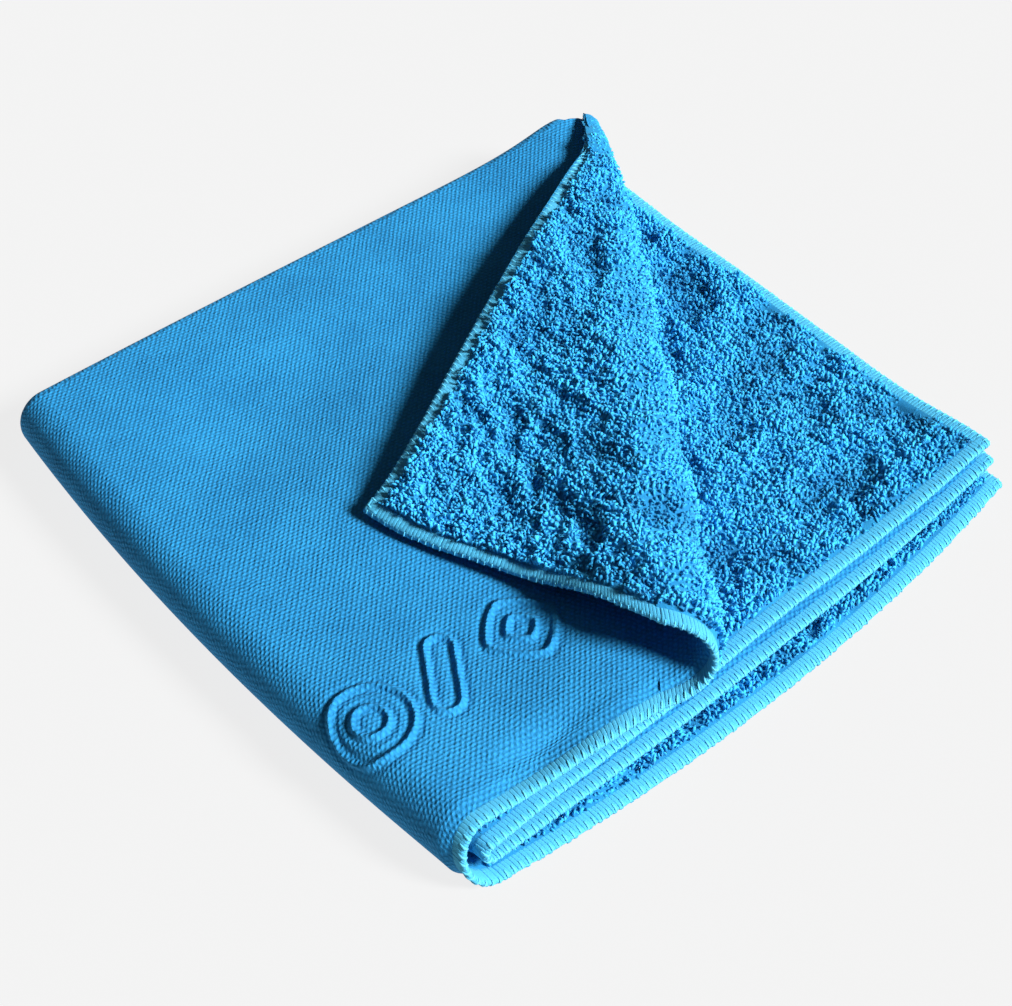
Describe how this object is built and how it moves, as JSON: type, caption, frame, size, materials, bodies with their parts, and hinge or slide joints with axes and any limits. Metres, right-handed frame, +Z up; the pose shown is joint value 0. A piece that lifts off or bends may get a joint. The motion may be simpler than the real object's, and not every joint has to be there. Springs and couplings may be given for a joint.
{
  "type": "polishing towel",
  "caption": "Square plush polishing towel with an overlocked edge, folded into a quarter-size stack with the top corner turned back in a soft roll.",
  "frame": {"origin": "centre of the stack's footprint, on the surface that the towel lies on", "axes": "+X along the open front edge from the spine fold to the loose corner, +Y from the front edge to the back fold, +Z up"},
  "size_m": [0.206, 0.206, 0.0363],
  "materials": {
    "short_pile_cloth": "short knitted microfibre pile, matt with a faint sheen",
    "long_pile_cloth": "long curly microfibre pile, soft sheen on the tufts",
    "binding_thread": "spun overlock thread, slightly glossy"
  },
  "bodies": {
    "lower_half": {"bottom_panel": "short_pile_cloth", "third_panel": "short_pile_cloth", "back_fold_lower": "short_pile_cloth", "binding_bottom_front": "binding_thread", "binding_bottom_side": "binding_thread", "binding_third_front": "binding_thread", "binding_third_side": "binding_thread", "binding_back_lower": "binding_thread", "spine_fold_outer": "short_pile_cloth", "spine_fold_inner": "short_pile_cloth", "folded_corner": "short_pile_cloth", "binding_spine_outer": "binding_thread", "binding_spine_inner": "binding_thread"},
    "upper_half": {"top_panel": "short_pile_cloth", "second_panel": "long_pile_cloth", "back_fold_upper": "short_pile_cloth", "binding_top_front": "binding_thread", "binding_second_front": "binding_thread", "binding_second_side": "binding_thread", "binding_back_upper": "binding_thread", "flap_crease": "long_pile_cloth", "binding_crease": "binding_thread"},
    "turned_corner": {"corner_flap": "long_pile_cloth", "binding_flap_front": "binding_thread", "binding_flap_side": "binding_thread"}
  },
  "joints": [
    {"name": "spine_opening", "type": "hinge", "parent": "lower_half", "child": "upper_half", "pos_m": [-0.0982, 0, 0.0098], "axis": [0, -1, 0], "range_deg": [0, 150], "deforming": ["spine_fold_outer", "spine_fold_inner", "folded_corner", "binding_spine_outer", "binding_spine_inner"]},
    {"name": "corner_turning", "type": "hinge", "parent": "upper_half", "child": "turned_corner", "pos_m": [0.09911, 0.09685, 0.0198], "axis": [0.5165, 0.8559, -0.0256], "range_deg": [0, 150], "deforming": ["flap_crease", "binding_crease"]}
  ]
}
